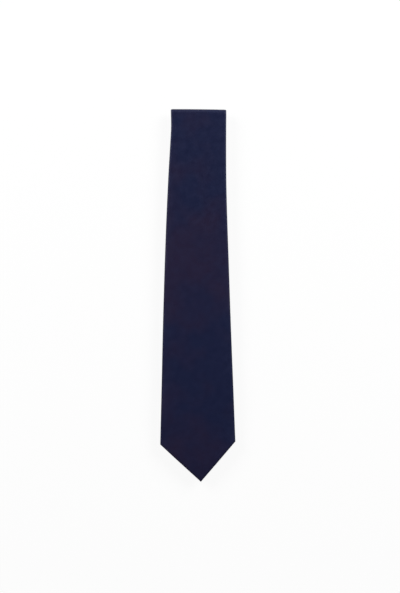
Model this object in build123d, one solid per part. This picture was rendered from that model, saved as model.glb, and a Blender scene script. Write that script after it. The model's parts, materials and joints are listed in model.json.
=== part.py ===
from build123d import *
import math
import os

# A classic necktie, lying flat and folded in four, blade face up.
#
# The tie is a long flattened tube of bias-cut cloth around an interlining. It is folded back and forth
# into four flat runs that lie on each other: the front blade on top, then the upper back, the neck and the
# tail, which rests on the table. Three creases join the runs: the top fold, the neck fold and the tail fold.
#
# Frame: millimetres, X across the tie, +Y from the blade's tip towards the top fold, +Z up off the table.
# The origin is at the middle of the footprint, at table height.
#
# Depth d runs through one thickness of tie, from its face cloth (0) to the top of its back seam (THICK).

# --- Driving dimensions ---------------------------------------------------------------------------------
VISIBLE_LENGTH = 424.0  # blade tip to the top fold
TOTAL_LENGTH = 1480.0  # blade tip to tail tip, along the unfolded tie
BLADE_CORNER_HALF = 42.5  # half the blade's width at its corners
NECK_HALF = 17.5  # half the tie's width at its narrowest
TAIL_CORNER_HALF = 22.5  # half the tail's width at its corners
BLADE_OVERHANG = 27.0  # how far the blade's tip reaches past the neck fold

CLOTH = 0.4  # the shell cloth
FACE_IN = CLOTH  # depth of the face cloth's inner side
INTERLINING = (0.45, 1.8)
TIPPING = (1.82, 1.95)
FLAP = (2.1, 2.5)  # the cloth turned onto the back
LAP = (2.8, 3.15)  # the over flap, where it laps the under flap along the back seam
THICK = LAP[1]
LAP_LEFT, LAP_RIGHT = -5.0, 8.0  # x of the over flap's free edge and of the step up to it
UNDER_FLAP_EDGE = 6.4
STEP = 0.8  # width of the step between flap and lap

TOP_GAP, NECK_GAP, TAIL_GAP = 1.8, 1.2, 1.2  # air between the runs that each fold joins
CREASE_GAP = 0.15  # a run stops this far short of its fold's axis
SIDE_ROOM = 1.0  # the interlining stops this far inside the cloth
THREAD_R = 0.12
FINE_THREAD_R = 0.06
SEAM_GAP = 0.3  # between two panels, where their seam's thread lies


# --- Runs of the folded tie -----------------------------------------------------------------------------
class Run:
    """One flat run of the folded tie: where its face lies, and which way that face looks."""

    def __init__(self, face_z, face_up):
        self.face_z = face_z
        self.turn = -1 if face_up else 1

    def z(self, depth):
        return self.face_z + self.turn * depth


class Fold:
    """A crease along X: its axis, the radius of its inner side, and whether the face cloth is outside."""

    def __init__(self, y, z, inner, side, face_outside):
        self.y, self.z, self.inner, self.side = y, z, inner, side
        self.face_outside = face_outside
        self.outer = inner + THICK

    def radius(self, depth):
        return self.outer - depth if self.face_outside else self.inner + depth

    def length(self):
        """Along the middle of the cloth."""
        return math.pi * (self.inner + THICK / 2)


TAIL = Run(0.0, face_up=False)
NECK = Run(2 * THICK + TAIL_GAP, face_up=True)
BACK = Run(NECK.face_z + NECK_GAP, face_up=False)
BLADE = Run(BACK.z(THICK) + TOP_GAP + THICK, face_up=True)

TOP_Y = VISIBLE_LENGTH / 2
TIP_Y = -TOP_Y
fold_y = TOP_Y - THICK - TOP_GAP / 2
TOP_FOLD = Fold(fold_y, BACK.z(THICK) + TOP_GAP / 2, TOP_GAP / 2, 1, True)
neck_fold_y = TIP_Y + BLADE_OVERHANG + THICK + NECK_GAP / 2
NECK_FOLD = Fold(neck_fold_y, NECK.face_z + NECK_GAP / 2, NECK_GAP / 2, -1, False)
TAIL_FOLD = Fold(fold_y, THICK + TAIL_GAP / 2, TAIL_GAP / 2, 1, True)

run_length = fold_y - neck_fold_y
folds_length = sum(f.length() for f in (TOP_FOLD, NECK_FOLD, TAIL_FOLD))
tail_length = TOTAL_LENGTH - (fold_y - TIP_Y) - 2 * run_length - folds_length
TAIL_TIP_Y = fold_y - tail_length

# --- Outlines in plan, as (x, y) ------------------------------------------------------------------------
TOP_LEFT, TOP_RIGHT = -30.6, 32.0  # where the top fold ends
NECK_MID, TAIL_MID, TAIL_TIP_X = 1.5, 2.0, 2.6  # x of the tie's middle at the neck and tail folds, and at its end
NECK_FOLD_HALF = 18.5
TAIL_FOLD_HALF = 20.0

TIP_X = 3.2  # the bias-cut point sits a little to the right of the blade's middle
TIP = (TIP_X, TIP_Y)
LEFT_CORNER = (-BLADE_CORNER_HALF, TIP_Y + 43.0)
RIGHT_CORNER = (BLADE_CORNER_HALF, TIP_Y + 46.5)
BLADE_LEFT = [(-30.0, TOP_Y - 13.5), (-34.8, TOP_Y - 103.5), (-39.1, TOP_Y - 222.0), LEFT_CORNER]
BLADE_RIGHT = [RIGHT_CORNER, (36.4, TOP_Y - 217.5), (32.3, TOP_Y - 95.0)]
TAIL_TIP = (TAIL_TIP_X, TAIL_TIP_Y)
TAIL_LEFT_CORNER = (TAIL_TIP_X - TAIL_CORNER_HALF, TAIL_TIP_Y + TAIL_CORNER_HALF)
TAIL_RIGHT_CORNER = (TAIL_TIP_X + TAIL_CORNER_HALF, TAIL_TIP_Y + TAIL_CORNER_HALF)
WAIST_Y = NECK_FOLD.y + 80.0  # where the neck is narrowest


def blade_outline(end_y):
    return [(TOP_LEFT, end_y), *BLADE_LEFT, TIP, *BLADE_RIGHT, (TOP_RIGHT, end_y)]


def back_outline(end_y, start_y):
    left, right = NECK_MID - NECK_FOLD_HALF, NECK_MID + NECK_FOLD_HALF
    return [(TOP_LEFT, end_y), (left, start_y), (right, start_y), (TOP_RIGHT, end_y)]


def neck_outline(end_y, start_y):
    left = [(TAIL_MID - TAIL_FOLD_HALF, end_y), (NECK_MID - NECK_HALF, WAIST_Y), (NECK_MID - NECK_FOLD_HALF, start_y)]
    right = [(NECK_MID + NECK_FOLD_HALF, start_y), (NECK_MID + NECK_HALF, WAIST_Y), (TAIL_MID + TAIL_FOLD_HALF, end_y)]
    return left + right


def tail_outline(end_y):
    left, right = (TAIL_MID - TAIL_FOLD_HALF, end_y), (TAIL_MID + TAIL_FOLD_HALF, end_y)
    return [left, TAIL_LEFT_CORNER, TAIL_TIP, TAIL_RIGHT_CORNER, right]


# --- Building blocks ------------------------------------------------------------------------------------
def pulled_in(outline, inset):
    """A counter-clockwise outline with every edge moved inwards by the same amount."""
    points = [Vector(*p) for p in outline]
    moved = []
    for before, here, after in zip(points[-1:] + points[:-1], points, points[1:] + points[:1]):
        a, b = (here - before).normalized(), (after - here).normalized()
        normal_a, normal_b = Vector(-a.Y, a.X), Vector(-b.Y, b.X)
        bisector = (normal_a + normal_b).normalized()
        corner = here + bisector * (inset / bisector.dot(normal_a))
        moved.append((corner.X, corner.Y))
    return moved


def plate(outline, run, depths, inset=0.0):
    """A flat piece of a run: its outline, pulled in by inset, between two depths."""
    low, high = sorted(run.z(d) for d in depths)
    face = make_face(Polyline(*pulled_in(outline, inset), close=True))
    return extrude(Pos(0, 0, low) * face, high - low, dir=(0, 0, 1))


def block(x, y, run, depths):
    """A plain rectangle of a run, from x[0] to x[1] and y[0] to y[1]."""
    return plate([(x[0], y[0]), (x[1], y[0]), (x[1], y[1]), (x[0], y[1])], run, depths)


def half_ring(fold, depths, x):
    """The bent part of a fold between two depths, from x[0] to x[1]."""
    near, far = sorted(fold.radius(d) for d in depths)
    width = x[1] - x[0]
    ring = Cylinder(far, width) - Cylinder(near, width)
    half = Pos(fold.side * far, 0, 0) * Box(2 * far, 2 * far, width)
    middle = Pos((x[0] + x[1]) / 2, fold.y, fold.z)
    return middle * Plane.YZ.location * (ring & half)


def rod(start, end, radius=THREAD_R):
    """One straight stitch between two points."""
    a, b = Vector(*start), Vector(*end)
    return Solid.make_cylinder(radius, (b - a).length, Plane(a, z_dir=b - a))


def shell_of(outline_at, run, y_ends, seam_y, window=None):
    """The cloth tube of a run: its cavity is open at the folds, and its back is lapped along the seam.

    outline_at gives the outline for ends pushed out by some length. window is the opening on the back.
    """
    body = plate(outline_at(0.0), run, (0.0, FLAP[1]))
    body -= plate(outline_at(2 * CLOTH), run, (FACE_IN, FLAP[0]), inset=CLOTH)
    low, high = y_ends
    if window:
        body -= window
    past = 5.0
    body -= block((UNDER_FLAP_EDGE, LAP_RIGHT - STEP / 2), (seam_y - past, high + past), run, FLAP)
    lap = block((LAP_LEFT, LAP_RIGHT), (seam_y, high), run, LAP)
    step = block((LAP_RIGHT - STEP / 2, LAP_RIGHT + STEP / 2), (seam_y, high), run, (FLAP[0], LAP[1]))
    body += lap + step
    return body & block((-100, 100), (low, high), run, (0.0, THICK))


def fold_shell(fold, x):
    """The cloth tube where it turns through a fold."""
    inside = (x[0] + CLOTH, x[1] - CLOTH)
    return half_ring(fold, (0.0, THICK), x) - half_ring(fold, (FACE_IN, FLAP[0]), inside)


def fold_interlining(fold, x):
    return half_ring(fold, INTERLINING, (x[0] + SIDE_ROOM, x[1] - SIDE_ROOM))


def beyond(level, up, run):
    """Everything of a run on one side of a bias line, y = x + level."""
    reach, far = 100.0, 600.0
    side = far if up else -far
    outline = [(-reach, level - reach), (reach, level + reach), (reach, side), (-reach, side)]
    return plate(outline, run, (-1.0, THICK + 1.0))


def apart(solid, level, run):
    """A run's piece cut in two along a bias line: the part above it and the part below."""
    shift = SEAM_GAP / math.sqrt(2)
    return solid & beyond(level + shift, True, run), solid & beyond(level - shift, False, run)


def stitch_row(start, end, run, depth, length, pitch, radius=THREAD_R):
    """Stitches in line from start to end, each a separate rod."""
    a, b = Vector(*start), Vector(*end)
    along = (b - a).normalized()
    count = int((b - a).length // pitch)
    z = run.z(depth)
    rods = []
    for i in range(count):
        p = a + along * (i * pitch + (pitch - length) / 2)
        q = p + along * length
        rods.append(rod((p.X, p.Y, z), (q.X, q.Y, z), radius))
    return rods


def bias_stitches(level, x, run, depths):
    """The stitches of a bias seam, y = x + level, lying in the gap between its two pieces."""
    start, end = ((at, at + level) for at in x)
    return [s for depth in depths for s in stitch_row(start, end, run, depth, 1.9, 2.3)]


def bar(x, y, run, depth, height, width=1.2):
    """A dense little bar of thread across the end of a seam."""
    return block(x, (y - width / 2, y + width / 2), run, (depth, depth + height))


# --- The four runs of the shell -------------------------------------------------------------------------
end_y = fold_y - CREASE_GAP
start_y = NECK_FOLD.y + CREASE_GAP

BLADE_SEAM_Y = TIP_Y + 105.0  # where the back seam of the blade starts
TAIL_SEAM_Y = TAIL_TIP_Y + 58.0
BORDER = 3.0  # cloth that shows round the tipping


def back_window(outline, run, seam_y, corners):
    """The opening between the flaps, where the tipping shows: a kite from the seam down to the tip."""
    apex = ((LAP_LEFT + LAP_RIGHT) / 2, seam_y)
    (lx, ly), (rx, ry) = corners
    low = ly - 200.0
    splay = [apex, (lx, ly), (lx - 10, ly), (lx - 10, low), (rx + 10, low), (rx + 10, ry), (rx, ry)]
    return plate(outline, run, FLAP, inset=BORDER) & plate(splay, run, FLAP)


blade_window = back_window(blade_outline(end_y), BLADE, BLADE_SEAM_Y, (LEFT_CORNER, RIGHT_CORNER))
tail_window = back_window(tail_outline(end_y), TAIL, TAIL_SEAM_Y, (TAIL_LEFT_CORNER, TAIL_RIGHT_CORNER))

blade_shell = shell_of(
    lambda more: blade_outline(end_y + more), BLADE, (TIP_Y - 1, end_y), BLADE_SEAM_Y, blade_window
)
back_shell = shell_of(
    lambda more: back_outline(end_y + more, start_y - more), BACK, (start_y, end_y), start_y
)
neck_shell = shell_of(
    lambda more: neck_outline(end_y + more, start_y - more), NECK, (start_y, end_y), start_y
)
tail_shell = shell_of(
    lambda more: tail_outline(end_y + more), TAIL, (TAIL_TIP_Y - 1, end_y), TAIL_SEAM_Y, tail_window
)

top_x = (TOP_LEFT, TOP_RIGHT)
neck_x = (NECK_MID - NECK_FOLD_HALF, NECK_MID + NECK_FOLD_HALF)
tail_x = (TAIL_MID - TAIL_FOLD_HALF, TAIL_MID + TAIL_FOLD_HALF)

# The shell is three panels, joined on the bias: one seam in the upper back and one in the neck.
FRONT_SEAM, TAIL_SEAM = 20.0, 60.0  # y of each seam at x = 0
front_upper, neck_upper = apart(back_shell, FRONT_SEAM, BACK)
tail_upper, neck_lower = apart(neck_shell, TAIL_SEAM, NECK)


# --- Interlining, in three lengths ----------------------------------------------------------------------
def interlining_of(outline_at, run, y_ends):
    body = plate(outline_at(SIDE_ROOM), run, INTERLINING, inset=SIDE_ROOM)
    return body & block((-100, 100), y_ends, run, INTERLINING)


FRONT_JOIN, TAIL_JOIN = -25.0, 15.0  # y of the interlining's own joins at x = 0
blade_lining = interlining_of(lambda more: blade_outline(end_y + more), BLADE, (TIP_Y, end_y))
back_lining = interlining_of(
    lambda more: back_outline(end_y + more, start_y - more), BACK, (start_y, end_y)
)
neck_lining = interlining_of(
    lambda more: neck_outline(end_y + more, start_y - more), NECK, (start_y, end_y)
)
tail_lining = interlining_of(lambda more: tail_outline(end_y + more), TAIL, (TAIL_TIP_Y, end_y))
front_lining_upper, neck_lining_upper = apart(back_lining, FRONT_JOIN, BACK)
tail_lining_upper, neck_lining_lower = apart(neck_lining, TAIL_JOIN, NECK)

# --- Tipping: the lining that shows in each window ------------------------------------------------------
TIPPING_TOP, TAIL_TIPPING_TOP = BLADE_SEAM_Y + 45.0, TAIL_SEAM_Y + 25.0
blade_tipping = plate(blade_outline(end_y), BLADE, TIPPING, inset=0.6)
blade_tipping &= block((-100, 100), (TIP_Y, TIPPING_TOP), BLADE, TIPPING)
tail_tipping = plate(tail_outline(end_y), TAIL, TIPPING, inset=0.6)
tail_tipping &= block((-100, 100), (TAIL_TIP_Y, TAIL_TIPPING_TOP), TAIL, TIPPING)

# --- Keeper loop and labels on the back of the blade ----------------------------------------------------
SEAM_X = 1.0  # middle of the back seam's lap
KEEPER_Y = (39.0, 51.0)
KEEPER_HALF, KEEPER_FOOT = 26.0, 6.0  # half of the free span, and the length sewn down at each end
KEEPER_BAND = (3.3, 3.75)
KEEPER_FOOT_DEPTHS = (2.52, 2.97)
keeper_loop = block((SEAM_X - KEEPER_HALF, SEAM_X + KEEPER_HALF), KEEPER_Y, BLADE, KEEPER_BAND)
keeper_stitches = []
for side in (-1, 1):
    inner, outer = SEAM_X + side * KEEPER_HALF, SEAM_X + side * (KEEPER_HALF + KEEPER_FOOT)
    foot = block(sorted((inner, outer)), KEEPER_Y, BLADE, KEEPER_FOOT_DEPTHS)
    riser_x = sorted((inner - side * 0.45, inner))
    riser = block(riser_x, KEEPER_Y, BLADE, (KEEPER_FOOT_DEPTHS[0], KEEPER_BAND[1]))
    keeper_loop += foot + riser
    for share in (0.35, 0.75):
        x = inner + side * share * KEEPER_FOOT
        line = (x, KEEPER_Y[0] + 0.5), (x, KEEPER_Y[1] - 0.5)
        keeper_stitches += stitch_row(*line, BLADE, KEEPER_FOOT_DEPTHS[1] + 0.13, 1.8, 2.2)

LABEL_HALF, LABEL_Y = 25.0, (8.0, 32.0)
LABEL_DEPTHS = (3.17, 3.4)
label_patch = block((SEAM_X - LABEL_HALF, SEAM_X + LABEL_HALF), LABEL_Y, BLADE, LABEL_DEPTHS)
label_stitches = []
for side in (-1, 1):
    x = SEAM_X + side * (LABEL_HALF - 1.2)
    line = (x, LABEL_Y[0] + 1.0), (x, LABEL_Y[1] - 1.0)
    label_stitches += stitch_row(*line, BLADE, LABEL_DEPTHS[1] + 0.13, 1.8, 2.4)

care_label = block((-19.0, -2.0), (80.0, 100.0), BLADE, (2.53, 2.75))

# --- Threads --------------------------------------------------------------------------------------------
SLIP_DEPTH = (FLAP[1] + LAP[0]) / 2
SLIP_LENGTH, SLIP_PITCH = 9.0, 12.0


def slip_stitches(run, low, high):
    """The long hidden stitches that close the back seam."""
    return stitch_row((SEAM_X, low), (SEAM_X, high), run, SLIP_DEPTH, SLIP_LENGTH, SLIP_PITCH)


def tip_stitches(corner_a, tip, corner_b, run):
    """The seam between a panel and its tipping, along both edges of the tip."""
    depth, pull = (TIPPING[1] + FLAP[0]) / 2, 3.2
    rods = []
    for corner in (corner_a, corner_b):
        inward = 1 if corner[0] < tip[0] else -1
        start = (corner[0] + inward * pull, corner[1])
        end = (tip[0] - inward * 0.5, tip[1] + pull)
        rods += stitch_row(start, end, run, depth, 1.8, 2.4, FINE_THREAD_R)
    return rods


BAR_REACH = (LAP_LEFT + 0.5, LAP_LEFT + 9.5)
WALLS = (FACE_IN / 2, sum(FLAP) / 2)  # middle of the face cloth and of the flaps
LINING_MIDDLE = (sum(INTERLINING) / 2,)

NODES = {
    "front_panel_blade": blade_shell,
    "front_panel_fold": fold_shell(TOP_FOLD, top_x),
    "front_panel_upper": front_upper,
    "neck_panel_upper": neck_upper,
    "neck_panel_fold": fold_shell(NECK_FOLD, neck_x),
    "neck_panel_lower": neck_lower,
    "tail_panel_upper": tail_upper,
    "tail_panel_fold": fold_shell(TAIL_FOLD, tail_x),
    "tail_panel_blade": tail_shell,
    "front_interlining_blade": blade_lining,
    "front_interlining_fold": fold_interlining(TOP_FOLD, top_x),
    "front_interlining_upper": front_lining_upper,
    "neck_interlining_upper": neck_lining_upper,
    "neck_interlining_fold": fold_interlining(NECK_FOLD, neck_x),
    "neck_interlining_lower": neck_lining_lower,
    "tail_interlining_upper": tail_lining_upper,
    "tail_interlining_fold": fold_interlining(TAIL_FOLD, tail_x),
    "tail_interlining_blade": tail_lining,
    "front_tipping": blade_tipping,
    "tail_tipping": tail_tipping,
    "keeper_loop": keeper_loop,
    "keeper_loop_stitches": keeper_stitches,
    "label_patch": label_patch,
    "label_stitches": label_stitches,
    "care_label": care_label,
    "blade_slip_stitches": slip_stitches(BLADE, BLADE_SEAM_Y + 6, end_y - 3),
    "upper_back_slip_stitches": slip_stitches(BACK, start_y + 3, end_y - 3),
    "neck_slip_stitches": slip_stitches(NECK, start_y + 3, end_y - 3),
    "tail_slip_stitches": slip_stitches(TAIL, TAIL_SEAM_Y + 6, end_y - 3),
    "blade_bar_tack": bar(BAR_REACH, BLADE_SEAM_Y + 3, BLADE, THICK + 0.02, 0.28),
    "tail_bar_tack": bar(BAR_REACH, TAIL_SEAM_Y + 3, TAIL, THICK + 0.02, 0.28),
    "front_tipping_stitches": tip_stitches(LEFT_CORNER, TIP, RIGHT_CORNER, BLADE),
    "tail_tipping_stitches": tip_stitches(TAIL_LEFT_CORNER, TAIL_TIP, TAIL_RIGHT_CORNER, TAIL),
    "front_seam_stitches": bias_stitches(FRONT_SEAM, (-20.0, 20.0), BACK, WALLS),
    "tail_seam_stitches": bias_stitches(TAIL_SEAM, (-12.5, 15.0), NECK, WALLS),
    "front_interlining_stitches": bias_stitches(FRONT_JOIN, (-17.5, 20.0), BACK, LINING_MIDDLE),
    "tail_interlining_stitches": bias_stitches(TAIL_JOIN, (-12.5, 15.0), NECK, LINING_MIDDLE),
}


def as_solids(shape):
    """One node's shape as a compound of its separate solids."""
    pieces = shape if isinstance(shape, list) else [shape]
    return Compound(children=[s for piece in pieces for s in piece.solids()])


os.makedirs("parts", exist_ok=True)
for name, shape in NODES.items():
    export_step(as_solids(shape), f"parts/{name}.step")
print(f"tail run {tail_length:.1f} mm, tail tip at y {TAIL_TIP_Y:.1f}, top of stack {BLADE.face_z:.2f}")
for label, fold in (("top", TOP_FOLD), ("neck", NECK_FOLD), ("tail", TAIL_FOLD)):
    print(f"{label} fold: axis y {fold.y:.3f} z {fold.z:.3f}, radius {fold.inner:.2f} to {fold.outer:.2f}")
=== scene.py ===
import json
import math

import bmesh
import bpy
import numpy as np
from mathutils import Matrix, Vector


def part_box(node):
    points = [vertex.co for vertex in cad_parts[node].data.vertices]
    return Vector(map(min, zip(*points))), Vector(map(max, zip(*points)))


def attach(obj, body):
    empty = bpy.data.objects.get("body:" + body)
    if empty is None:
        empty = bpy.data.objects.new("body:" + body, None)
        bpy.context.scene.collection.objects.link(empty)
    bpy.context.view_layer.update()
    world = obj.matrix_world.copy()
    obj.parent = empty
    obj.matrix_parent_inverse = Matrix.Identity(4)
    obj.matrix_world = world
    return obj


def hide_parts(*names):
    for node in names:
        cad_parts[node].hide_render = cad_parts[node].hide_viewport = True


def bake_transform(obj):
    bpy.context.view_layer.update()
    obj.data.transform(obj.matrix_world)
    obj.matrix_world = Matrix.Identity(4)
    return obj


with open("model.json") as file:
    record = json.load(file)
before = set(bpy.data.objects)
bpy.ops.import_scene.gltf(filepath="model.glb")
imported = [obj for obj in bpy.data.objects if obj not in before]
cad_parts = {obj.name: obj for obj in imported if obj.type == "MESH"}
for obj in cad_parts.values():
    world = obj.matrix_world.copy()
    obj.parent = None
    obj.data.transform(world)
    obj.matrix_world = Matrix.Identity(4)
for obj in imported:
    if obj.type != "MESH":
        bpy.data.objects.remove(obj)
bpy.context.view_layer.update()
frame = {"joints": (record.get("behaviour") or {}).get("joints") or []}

# A dark navy satin necktie, folded back and forth under its own front blade, on a white table.
#
# Every piece is first built flat, as if the tie were laid out straight: x runs across it, s along it from
# the blade's tip to the tail's tip, and d through it from its face (0) to its back. fold_up() then bends
# that layout round the three creases into the runs of the CAD frame. A piece that crosses a crease is
# folded with the rest, where the crease is simply a stretch of s, and is attached to neither body.

MM = 0.001
rng = np.random.default_rng(7)

# --- The folded path, from the CAD frame ---
hinges = {j["name"]: (j["pos_m"][1], j["pos_m"][2]) for j in frame["joints"]}
blade_low, blade_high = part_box("front_panel_blade")
TIP_Y = blade_low.y
TAIL_TIP_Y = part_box("tail_panel_blade")[0].y
THICK = blade_high.z - blade_low.z


class Run:
    """A straight run: s begins at y on face height z, y grows or shrinks with s, and d goes up or down."""

    def __init__(self, length, y, z, along, turn):
        self.length, self.y, self.z, self.along, self.turn = length, y, z, along, turn

    def place(self, s, d):
        return self.y + self.along * s, self.z + self.turn * d


class Crease:
    """A half turn about a fold's axis, from above it to below it, on one side of it."""

    def __init__(self, name, node, side, face_outside):
        self.y, self.z = hinges[name]
        self.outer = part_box(node)[1].z - self.z
        self.side, self.face_outside = side, face_outside
        self.length = math.pi * (self.outer - THICK / 2)

    def radius(self, d):
        return self.outer - d if self.face_outside else self.outer - THICK + d

    def place(self, s, d):
        angle = math.pi / 2 - math.pi * s / self.length
        return self.y + self.side * self.radius(d) * np.cos(angle), self.z + self.radius(d) * np.sin(angle)


top = Crease("top_fold", "front_panel_fold", 1, True)
middle = Crease("neck_fold", "neck_panel_fold", -1, False)
bottom = Crease("tail_fold", "tail_panel_fold", 1, True)
LEGS = [
    Run(top.y - TIP_Y, TIP_Y, top.z + top.outer, 1, -1),
    top,
    Run(top.y - middle.y, top.y, top.z - top.outer, -1, 1),
    middle,
    Run(bottom.y - middle.y, middle.y, bottom.z + bottom.outer, 1, -1),
    bottom,
    Run(bottom.y - TAIL_TIP_Y, bottom.y, bottom.z - bottom.outer, -1, 1),
]
STARTS = np.concatenate([[0], np.cumsum([leg.length for leg in LEGS])])
TOTAL = STARTS[-1]
TOP_FOLD, NECK_FOLD, TAIL_FOLD = (STARTS[1], STARTS[2]), (STARTS[3], STARTS[4]), (STARTS[5], STARTS[6])
TOP_TILT = math.tan(math.radians(0.6))  # the top fold isn't quite square to the tie
NECK_FOLD_REACH = middle.y - TIP_Y - middle.outer  # the tip lies this far beyond the neck fold


def smooth(low, high, value):
    """0 below low, 1 above high, and an even ramp between them. low may be above high."""
    t = np.clip((value - low) / (high - low), 0, 1)
    return t * t * (3 - 2 * t)


def ripple(x, s):
    """How far the lying cloth sinks below a true plane: long soft waves, none of them near a crease."""
    wave = np.sin(s / (31 * MM) + 1.3) * np.cos(x / (19 * MM) + s / (90 * MM))
    wave += 0.8 * np.sin(s / (17 * MM) - x / (23 * MM) + 0.4)
    wave += 0.6 * np.cos(s / (53 * MM) + x / (13 * MM))
    calm = 1.0
    for start, end in (TOP_FOLD, NECK_FOLD, TAIL_FOLD):
        away = np.maximum(start - s, s - end)
        calm = calm * smooth(0, 35 * MM, away)
    return (0.05 * MM * wave - relief(x, s)) * calm


SIDE_DROOP, TIP_DROOP = 2.0 * MM, 1.4 * MM


def droop(x, s):
    """How far the blade's sides and tip sink where they reach out past the narrower runs below."""
    reach = NECK_FOLD_REACH - s
    half = np.interp(-reach, [0, TOP_FOLD[0]], [18.5 * MM, 32 * MM])
    side = np.maximum(np.abs(x - 1.5 * MM) - half, 0)
    uneven = 1 + 0.3 * np.sin(s / (12 * MM) + 2 * np.sign(x)) + 0.25 * np.sin(s / (21 * MM) - np.sign(x))
    sunk = SIDE_DROOP * uneven * (side / (24 * MM)) ** 1.6
    sunk = sunk + TIP_DROOP * (np.maximum(reach, 0) / NECK_FOLD_REACH) ** 1.6
    return sunk * smooth(TOP_FOLD[0] - 10 * MM, TOP_FOLD[0] - 80 * MM, s)


def fold_up(flat):
    """Points laid out flat as (x, -s, d), bent into the folded tie."""
    x, s, d = flat[:, 0], -flat[:, 1], flat[:, 2]
    d = d + ripple(x, s) + droop(x, s)
    leg = np.clip(np.searchsorted(STARTS, s, side="right") - 1, 0, len(LEGS) - 1)
    y, z = np.empty_like(s), np.empty_like(s)
    for i, path in enumerate(LEGS):
        here = leg == i
        y[here], z[here] = path.place(s[here] - STARTS[i], d[here])
    tilt = TOP_TILT * smooth(40 * MM, 8 * MM, np.maximum(TOP_FOLD[0] - s, s - TOP_FOLD[1]))
    return np.stack([x, y - tilt * x, z], axis=1)


# --- The outline, laid out flat ---
BLADE_TIP_X, TAIL_TIP_X = 3.5 * MM, 2.6 * MM
PROUD = 0.3 * MM  # how far the cloth stands proud of its solid at the blade's corners
BLADE_HALF = blade_high.x + PROUD
TAIL_HALF = 22.5 * MM
LEFT_CORNER_S, RIGHT_CORNER_S = 42.3 * MM, 45.9 * MM

# Where each side runs between the corners, as (s, x) in millimetres. The top fold is at s 420 to 428, the
# neck fold near 820 and the tail fold near 1216.
LEFT_SIDE = [(42, -42.8), (92, -41.6), (200, -39.1), (323, -34.7), (355, -33.1), (387, -31.2), (403, -30.4),
             (424, -30.7), (470, -28.9), (820, -17.0), (904, -16.0), (1216, -18.0), (1457, -19.9)]
RIGHT_SIDE = [(46, 42.8), (100, 40.7), (196, 37.0), (250, 35.2), (307, 33.3), (335, 32.6), (400, 32.3),
              (424, 32.4), (470, 30.6), (820, 20.0), (904, 19.0), (1216, 22.0), (1457, 25.1)]


def curve_through(points):
    """A smooth function of s through the points, straight on beyond its ends."""
    s, x = np.array(points, float).T * MM
    slope = np.gradient(x, s)

    def value(at):
        i = np.clip(np.searchsorted(s, at) - 1, 0, len(s) - 2)
        step = s[i + 1] - s[i]
        t = np.clip((at - s[i]) / step, 0, 1)
        past = np.minimum(at - s[0], 0) * slope[0] + np.maximum(at - s[-1], 0) * slope[-1]
        return (
            x[i] * (1 + 2 * t) * (1 - t) ** 2 + x[i + 1] * t * t * (3 - 2 * t)
            + step * (slope[i] * t * (1 - t) ** 2 - slope[i + 1] * t * t * (1 - t)) + past
        )

    return value


SIDES = {-1: curve_through(LEFT_SIDE), 1: curve_through(RIGHT_SIDE)}


class Point:
    """A pointed end, as (x, s): its tip, and the corner on each side where the long edge begins."""

    def __init__(self, tip, left, right):
        self.tip, self.corners = tip, {-1: left, 1: right}

    def steps(self, side):
        return self.corners[side][0] - self.tip[0], self.corners[side][1] - self.tip[1]

    def edge(self, side, s):
        dx, ds = self.steps(side)
        return self.tip[0] + dx * (s - self.tip[1]) / ds

    def inside(self, side, x, s):
        """How far a place is inside this slanted edge."""
        dx, ds = self.steps(side)
        cross = dx * (s - self.tip[1]) - ds * (x - self.tip[0])
        return side * math.copysign(1, ds) * cross / math.hypot(dx, ds)

    def stretch(self, side):
        """How much longer a step into the cloth is when it is taken along x."""
        dx, ds = self.steps(side)
        return math.hypot(dx, ds) / abs(ds)

    def holds(self, side, s):
        """Whether s is between this end's tip and its corner on that side."""
        return (s - self.corners[side][1]) * math.copysign(1, self.steps(side)[1]) < 0


FRONT = Point((BLADE_TIP_X, 0.0), (-BLADE_HALF, LEFT_CORNER_S), (BLADE_HALF, RIGHT_CORNER_S))
BACK = Point(
    (TAIL_TIP_X, TOTAL),
    (TAIL_TIP_X - TAIL_HALF, TOTAL - TAIL_HALF),
    (TAIL_TIP_X + TAIL_HALF, TOTAL - TAIL_HALF),
)


def edge(side, s):
    """x of the tie's outline."""
    x = SIDES[side](s)
    for end in (FRONT, BACK):
        x = np.where(end.holds(side, s), end.edge(side, s), x)
    return x


def stretch(side, s):
    wide = np.ones_like(s)
    for end in (FRONT, BACK):
        wide = np.where(end.holds(side, s), end.stretch(side), wide)
    return wide


def inside(x, s):
    """How far a place is inside the outline."""
    near = np.full_like(x, 1.0)
    for side in (-1, 1):
        near = np.minimum(near, side * (SIDES[side](s) - x))
        for end in (FRONT, BACK):
            near = np.minimum(near, end.inside(side, x, s))
    return np.maximum(near, 0)


# --- Relief of the lying cloth ---
RELIEF_ROWS, RELIEF_COLS = 141, 29
PRESSED = 0.35  # how much of the simulated buckling is left in a pressed tie
RELIEF_CAP = 0.3 * MM
SETTLE_FRAMES = 40
CLEARANCE = 0.3 * MM  # the solver's own, above the bed
BED_Z = -1.55 * MM


def blur(field):
    for _ in range(3):
        for axis in (0, 1):
            pad = np.pad(field, [(1, 1) if k == axis else (0, 0) for k in (0, 1)], mode="edge")
            before, after = (np.take(pad, range(o, o + field.shape[axis]), axis) for o in (0, 2))
            field = (before + 2 * field + after) / 4
    return field


def interlining_bed():
    """The plane that the simulated cloth falls on, a little below the solver's own clearance."""
    x, y = np.meshgrid(np.linspace(-50, 50, 25) * MM, np.linspace(-TOP_FOLD[0] - 10 * MM, 10 * MM, 97))
    bed = flat_piece("bed", x, -y, np.full_like(x, BED_Z))
    bed.modifiers.new("collision", "COLLISION")
    bed.collision.thickness_outer, bed.collision.thickness_inner = CLEARANCE, 4 * MM
    bed.collision.cloth_friction = 10
    return bed


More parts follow.
